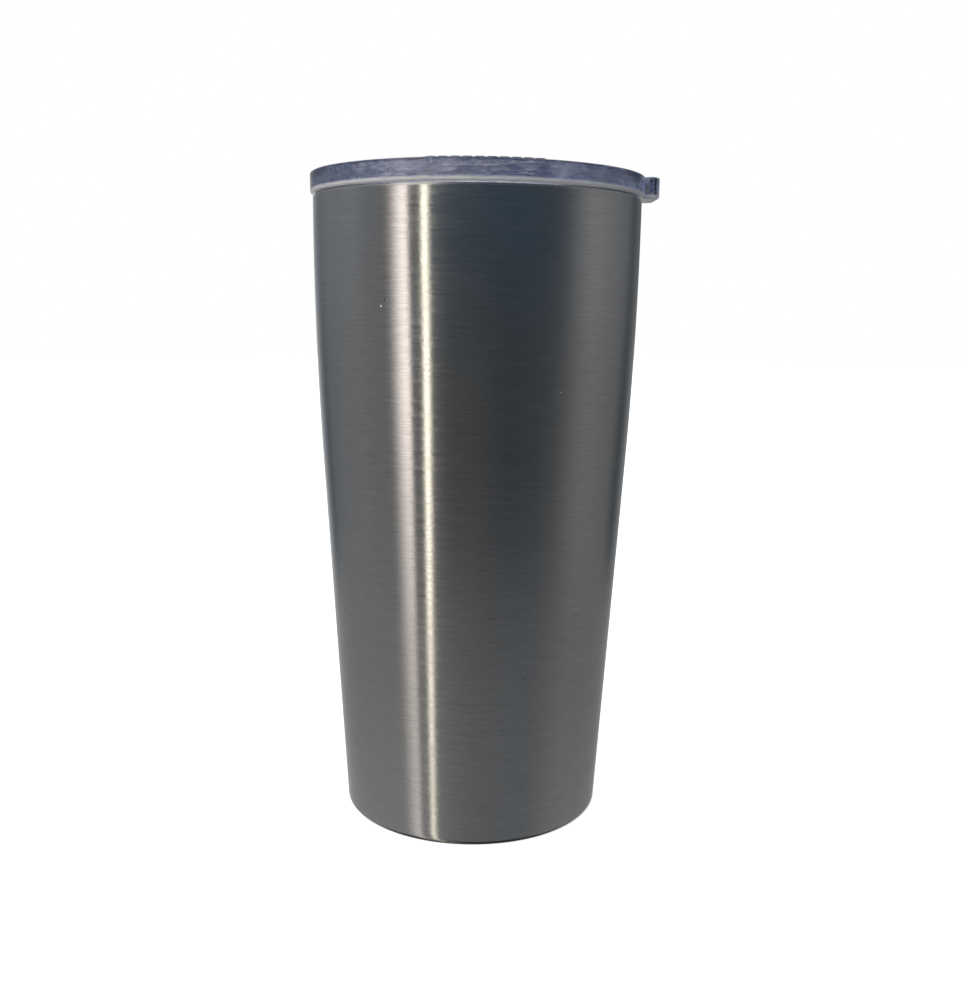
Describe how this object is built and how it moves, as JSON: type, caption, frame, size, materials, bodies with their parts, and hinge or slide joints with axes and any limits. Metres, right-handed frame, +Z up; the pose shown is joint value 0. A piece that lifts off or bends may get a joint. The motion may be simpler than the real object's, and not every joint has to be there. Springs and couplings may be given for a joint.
{
  "type": "insulated tumbler with lid",
  "caption": "Tapered double-walled steel tumbler with a vacuum space, and a clear press-in lid with a lift tab, a gasket and a sliding closure over its drink opening.",
  "frame": {"origin": "on the cup's axis, in the plane of the foot ring that it stands on", "axes": "+Z up along the cup's axis; +X towards the lid's lift tab; the drink opening is at -X"},
  "size_m": [0.094, 0.0904, 0.1769],
  "materials": {
    "brushed_steel": "brushed round the axis",
    "bare_steel": "satin",
    "copper": "bright foil",
    "solder_glass": "fused bead",
    "getter_alloy": "pressed powder",
    "clear_plastic": "clear, faint lavender tint",
    "silicone": "translucent satin"
  },
  "bodies": {
    "cup": {"outer_shell": "brushed_steel", "inner_liner": "bare_steel", "copper_foil": "copper", "vacuum_base": "bare_steel", "port_seal": "solder_glass", "getter_pellet": "getter_alloy", "getter_strap": "bare_steel", "outer_base": "brushed_steel"},
    "lid": {"lid_body": "clear_plastic", "lid_gasket": "silicone"},
    "slider": {"slider": "clear_plastic", "slider_seal": "silicone"}
  },
  "joints": [
    {"name": "lid_lift", "type": "slide", "parent": "cup", "child": "lid", "axis": [0, 0, 1], "range_m": [0, 0.04]},
    {"name": "slider_slide", "type": "slide", "parent": "lid", "child": "slider", "axis": [-1, 0, 0], "range_m": [0, 0.022]}
  ]
}
